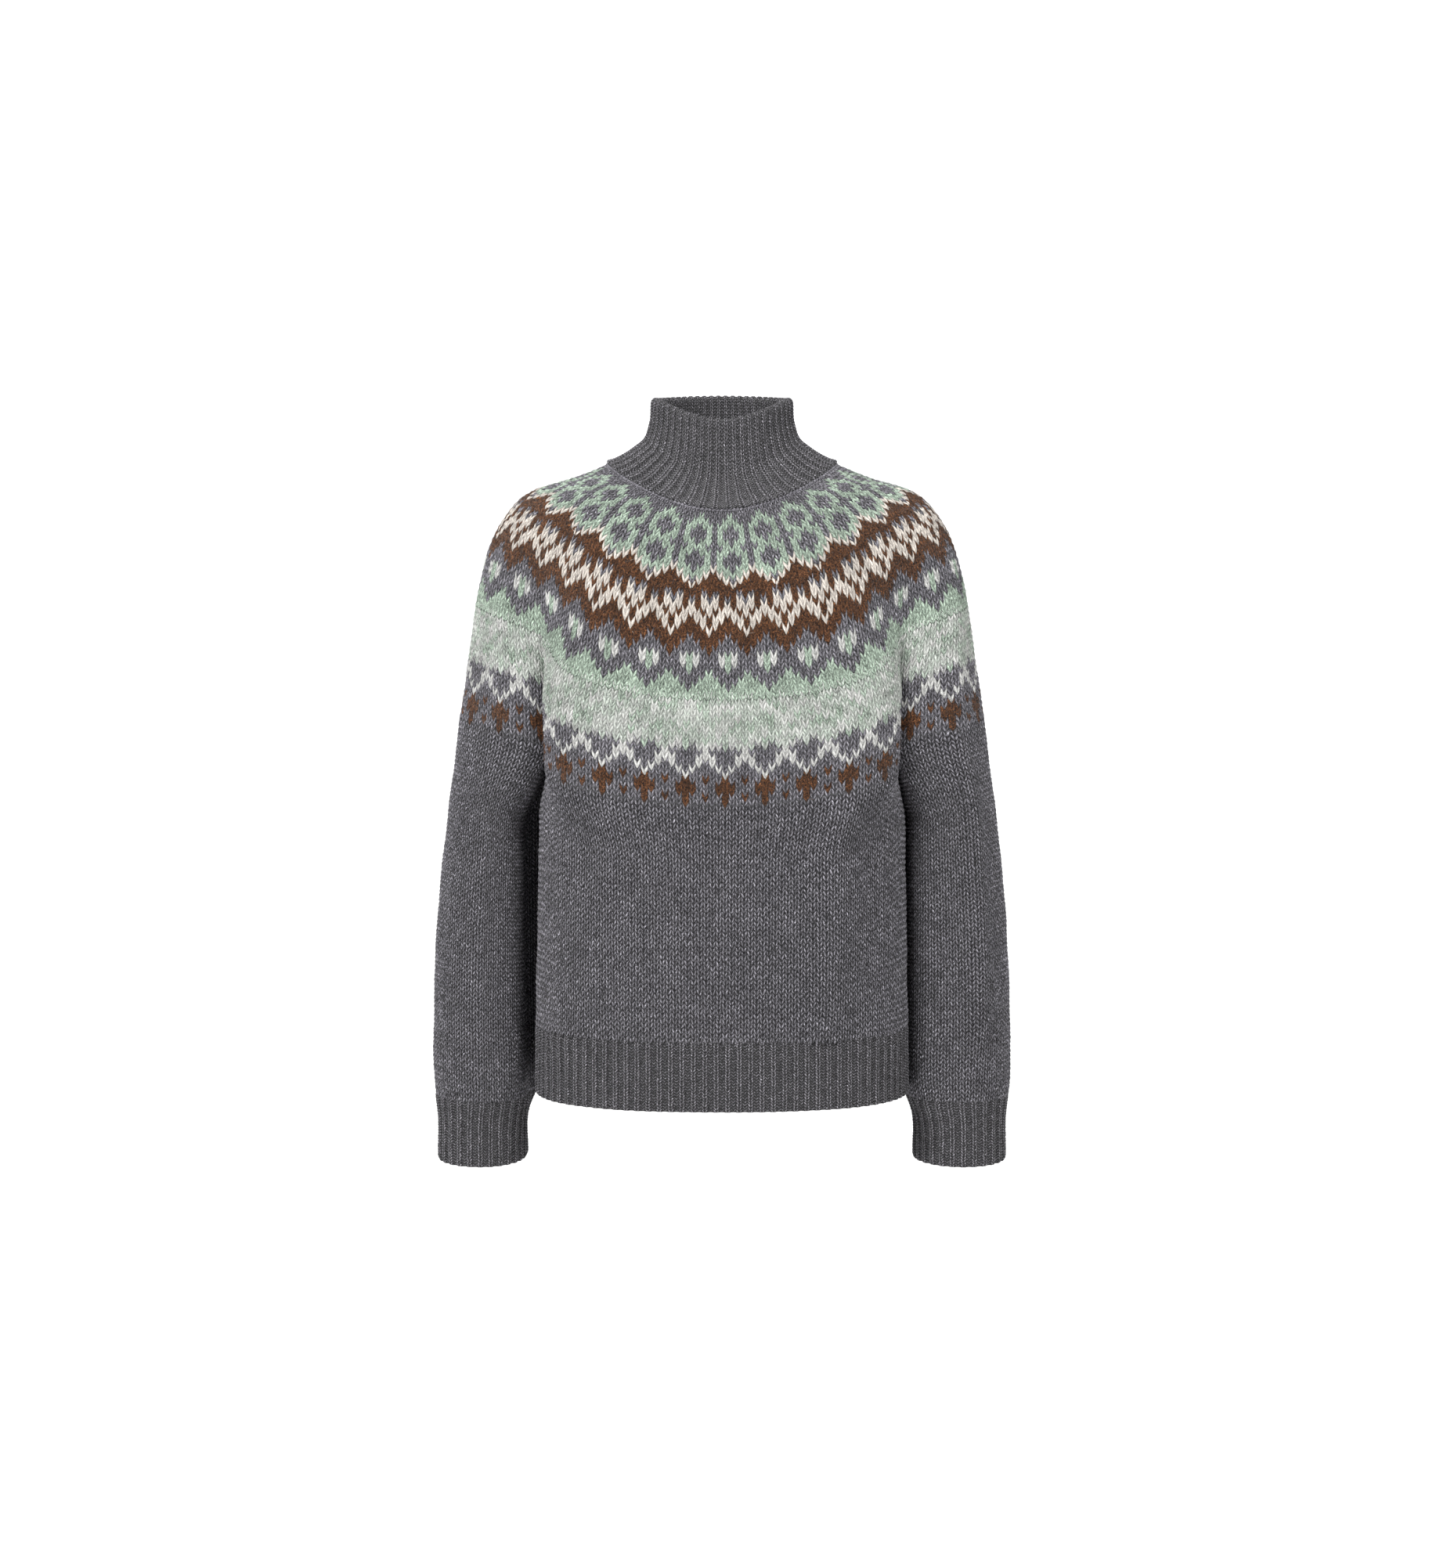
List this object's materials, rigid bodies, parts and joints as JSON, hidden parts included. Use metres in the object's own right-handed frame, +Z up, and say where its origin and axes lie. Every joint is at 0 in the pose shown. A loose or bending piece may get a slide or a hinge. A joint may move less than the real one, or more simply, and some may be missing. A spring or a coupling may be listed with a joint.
{
  "type": "nordic yoke pullover",
  "caption": "Hand-knit wool pullover with a round patterned yoke, ribbed funnel collar, hem and cuffs, filled out as worn with no wearer.",
  "frame": {"origin": "the middle of the neckline, where the yoke meets the collar, as the wearer's shoulders and neck hold it", "axes": "+Z up along the body, +Y from the front to the back, +X to the wearer's left, which is the right of a viewer in front"},
  "size_m": [0.5654, 0.2421, 0.75],
  "materials": {
    "patterned_wool": "matte brushed wool knitted in charcoal, mint, off-white and brown",
    "charcoal_wool": "matte heathered wool in plain knitting",
    "rib_wool": "matte heathered wool in rib"
  },
  "bodies": {
    "root": {"yoke": "patterned_wool", "body": "charcoal_wool", "sleeve_left": "charcoal_wool", "sleeve_right": "charcoal_wool", "collar": "rib_wool", "hem_rib": "rib_wool", "cuff_left": "rib_wool", "cuff_right": "rib_wool"}
  },
  "joints": []
}
